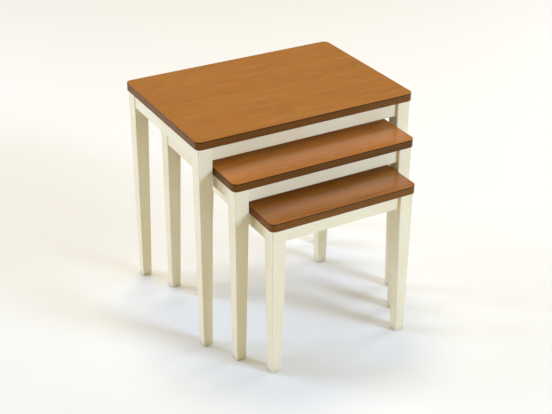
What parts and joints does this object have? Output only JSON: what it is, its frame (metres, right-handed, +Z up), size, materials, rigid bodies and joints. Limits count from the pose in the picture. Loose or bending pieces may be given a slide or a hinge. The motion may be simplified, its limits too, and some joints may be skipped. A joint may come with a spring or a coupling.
{
  "type": "nest of tables",
  "caption": "Nest of side tables with veneered tops, dark banded edges and cream tapered legs; the inner tables slide out from under the outer one.",
  "frame": {"origin": "on the floor, under the middle of the box around the set as it stands with both inner tables pulled out", "axes": "+Z up, +X to the right along the tables' width, -Y to the front, the way the inner tables slide out"},
  "size_m": [0.55, 0.543, 0.524],
  "materials": {
    "top_veneer": "satin lacquered straight-grained veneer, warm honey brown",
    "edge_stain": "satin dark brown stained edge band",
    "core_board": "raw fibreboard with a plain backing sheet",
    "cream_paint": "satin cream paint on solid wood",
    "block_wood": "raw sawn pine",
    "beech_dowel": "raw fluted beech",
    "zinc_steel": "bright zinc plate",
    "glide_plastic": "matt tan nylon"
  },
  "bodies": {
    "large_table": {"large_top_board": "core_board", "large_top_veneer": "top_veneer", "large_edge_band": "edge_stain", "large_front_left_leg": "cream_paint", "large_front_right_leg": "cream_paint", "large_back_left_leg": "cream_paint", "large_back_right_leg": "cream_paint", "large_front_left_block": "block_wood", "large_front_right_block": "block_wood", "large_back_left_block": "block_wood", "large_back_right_block": "block_wood", "large_front_apron": "cream_paint", "large_back_apron": "cream_paint", "large_left_apron": "cream_paint", "large_right_apron": "cream_paint", "large_dowels": "beech_dowel", "large_hanger_bolts": "zinc_steel", "large_flange_nuts": "zinc_steel", "large_top_screws": "zinc_steel", "large_glides": "glide_plastic"},
    "medium_table": {"medium_top_board": "core_board", "medium_top_veneer": "top_veneer", "medium_edge_band": "edge_stain", "medium_front_left_leg": "cream_paint", "medium_front_right_leg": "cream_paint", "medium_back_left_leg": "cream_paint", "medium_back_right_leg": "cream_paint", "medium_front_left_block": "block_wood", "medium_front_right_block": "block_wood", "medium_back_left_block": "block_wood", "medium_back_right_block": "block_wood", "medium_front_apron": "cream_paint", "medium_back_apron": "cream_paint", "medium_left_apron": "cream_paint", "medium_right_apron": "cream_paint", "medium_dowels": "beech_dowel", "medium_hanger_bolts": "zinc_steel", "medium_flange_nuts": "zinc_steel", "medium_top_screws": "zinc_steel", "medium_glides": "glide_plastic"},
    "small_table": {"small_top_board": "core_board", "small_top_veneer": "top_veneer", "small_edge_band": "edge_stain", "small_front_left_leg": "cream_paint", "small_front_right_leg": "cream_paint", "small_back_left_leg": "cream_paint", "small_back_right_leg": "cream_paint", "small_front_left_block": "block_wood", "small_front_right_block": "block_wood", "small_back_left_block": "block_wood", "small_back_right_block": "block_wood", "small_front_apron": "cream_paint", "small_back_apron": "cream_paint", "small_left_apron": "cream_paint", "small_right_apron": "cream_paint", "small_dowels": "beech_dowel", "small_hanger_bolts": "zinc_steel", "small_flange_nuts": "zinc_steel", "small_top_screws": "zinc_steel", "small_glides": "glide_plastic"}
  },
  "joints": [
    {"name": "medium_slide", "type": "slide", "parent": "large_table", "child": "medium_table", "axis": [0, -1, 0], "range_m": [-0.085, 0.31]},
    {"name": "small_slide", "type": "slide", "parent": "large_table", "child": "small_table", "axis": [0, -1, 0], "range_m": [-0.163, 0.63]}
  ]
}
